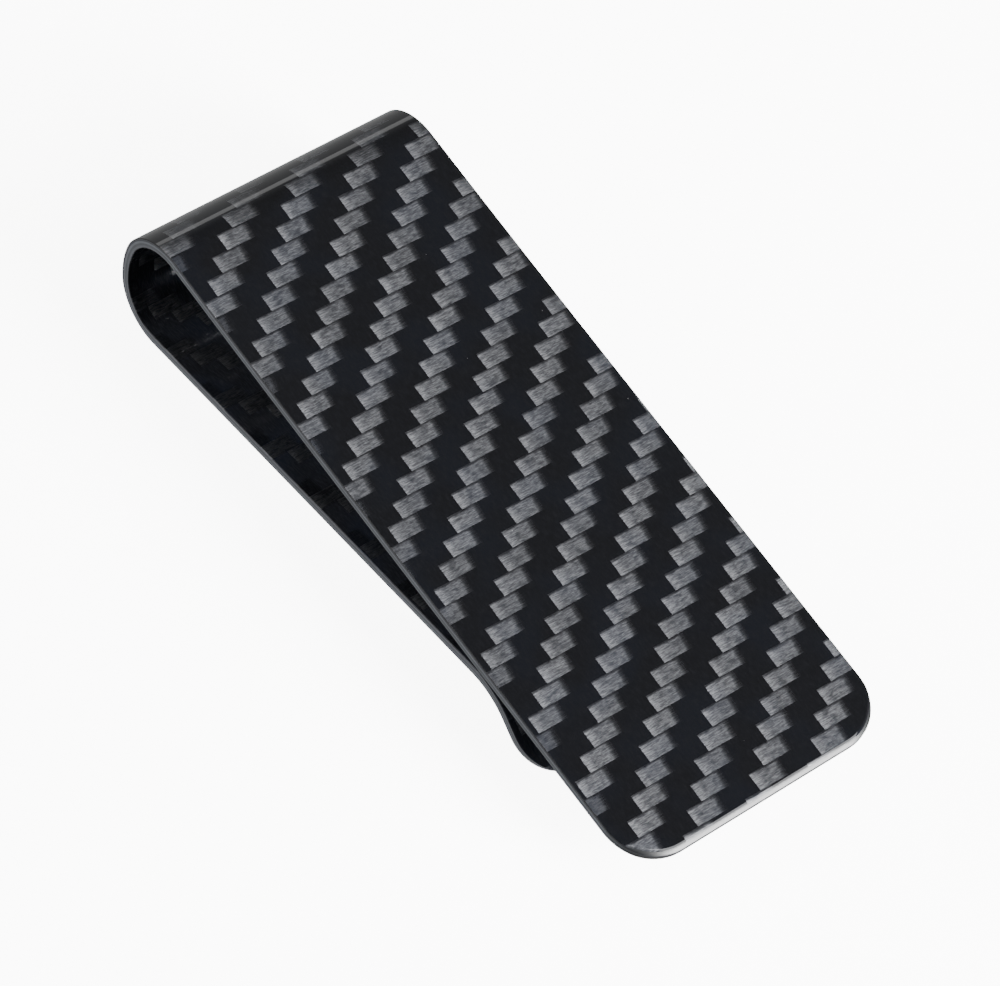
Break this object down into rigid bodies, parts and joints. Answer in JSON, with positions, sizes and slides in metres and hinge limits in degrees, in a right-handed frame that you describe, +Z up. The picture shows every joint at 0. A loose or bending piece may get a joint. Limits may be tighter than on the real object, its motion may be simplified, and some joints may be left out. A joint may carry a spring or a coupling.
{
  "type": "money clip",
  "caption": "Spring money clip moulded from one strip of gloss twill carbon-fibre laminate, bent into a loop with two leaves and a flared lip.",
  "frame": {"origin": "middle of the footprint, on the surface that the clip rests on", "axes": "+X along the clip towards its open end, +Y across the strip, +Z up from the surface to the upper leaf"},
  "size_m": [0.077, 0.03, 0.0132],
  "materials": {
    "clear_coat": "clear gloss epoxy over the weave",
    "face_ply": "2 x 2 twill carbon cloth in epoxy",
    "core_ply": "carbon cloth in epoxy, seen only at the cut edges"
  },
  "bodies": {
    "lower_leaf": {"lower_leaf_outer_coat": "clear_coat", "lower_leaf_outer_ply": "face_ply", "lower_leaf_outer_core_ply": "core_ply", "lower_leaf_inner_core_ply": "core_ply", "lower_leaf_inner_ply": "face_ply", "lower_leaf_inner_coat": "clear_coat"},
    "heel": {"heel_outer_coat": "clear_coat", "heel_outer_ply": "face_ply", "heel_outer_core_ply": "core_ply", "heel_inner_core_ply": "core_ply", "heel_inner_ply": "face_ply", "heel_inner_coat": "clear_coat"},
    "back": {"back_outer_coat": "clear_coat", "back_outer_ply": "face_ply", "back_outer_core_ply": "core_ply", "back_inner_core_ply": "core_ply", "back_inner_ply": "face_ply", "back_inner_coat": "clear_coat"},
    "crown": {"crown_outer_coat": "clear_coat", "crown_outer_ply": "face_ply", "crown_outer_core_ply": "core_ply", "crown_inner_core_ply": "core_ply", "crown_inner_ply": "face_ply", "crown_inner_coat": "clear_coat"},
    "shoulder": {"shoulder_outer_coat": "clear_coat", "shoulder_outer_ply": "face_ply", "shoulder_outer_core_ply": "core_ply", "shoulder_inner_core_ply": "core_ply", "shoulder_inner_ply": "face_ply", "shoulder_inner_coat": "clear_coat"},
    "upper_leaf": {"upper_leaf_outer_coat": "clear_coat", "upper_leaf_outer_ply": "face_ply", "upper_leaf_outer_core_ply": "core_ply", "upper_leaf_inner_core_ply": "core_ply", "upper_leaf_inner_ply": "face_ply", "upper_leaf_inner_coat": "clear_coat"}
  },
  "joints": [
    {"name": "loop_flex_1", "type": "hinge", "parent": "lower_leaf", "child": "heel", "pos_m": [-0.03259, 0, 0.00003], "axis": [0, -1, 0], "range_deg": [0, 2], "stiffness_Nm_per_rad": 5},
    {"name": "loop_flex_2", "type": "hinge", "parent": "heel", "child": "back", "pos_m": [-0.03827, 0, 0.00408], "axis": [0, -1, 0], "range_deg": [0, 2]},
    {"name": "loop_flex_3", "type": "hinge", "parent": "back", "child": "crown", "pos_m": [-0.0383, 0, 0.00853], "axis": [0, -1, 0], "range_deg": [0, 2]},
    {"name": "loop_flex_4", "type": "hinge", "parent": "crown", "child": "shoulder", "pos_m": [-0.03175, 0, 0.0132], "axis": [0, -1, 0], "range_deg": [0, 2]},
    {"name": "loop_flex_5", "type": "hinge", "parent": "shoulder", "child": "upper_leaf", "pos_m": [-0.0068, 0, 0.01015], "axis": [0, -1, 0], "range_deg": [0, 2]}
  ],
  "couplings": [
    {"joint": "loop_flex_2", "follows": "loop_flex_1", "ratio": 1},
    {"joint": "loop_flex_3", "follows": "loop_flex_1", "ratio": 1},
    {"joint": "loop_flex_4", "follows": "loop_flex_1", "ratio": 1},
    {"joint": "loop_flex_5", "follows": "loop_flex_1", "ratio": 1}
  ]
}
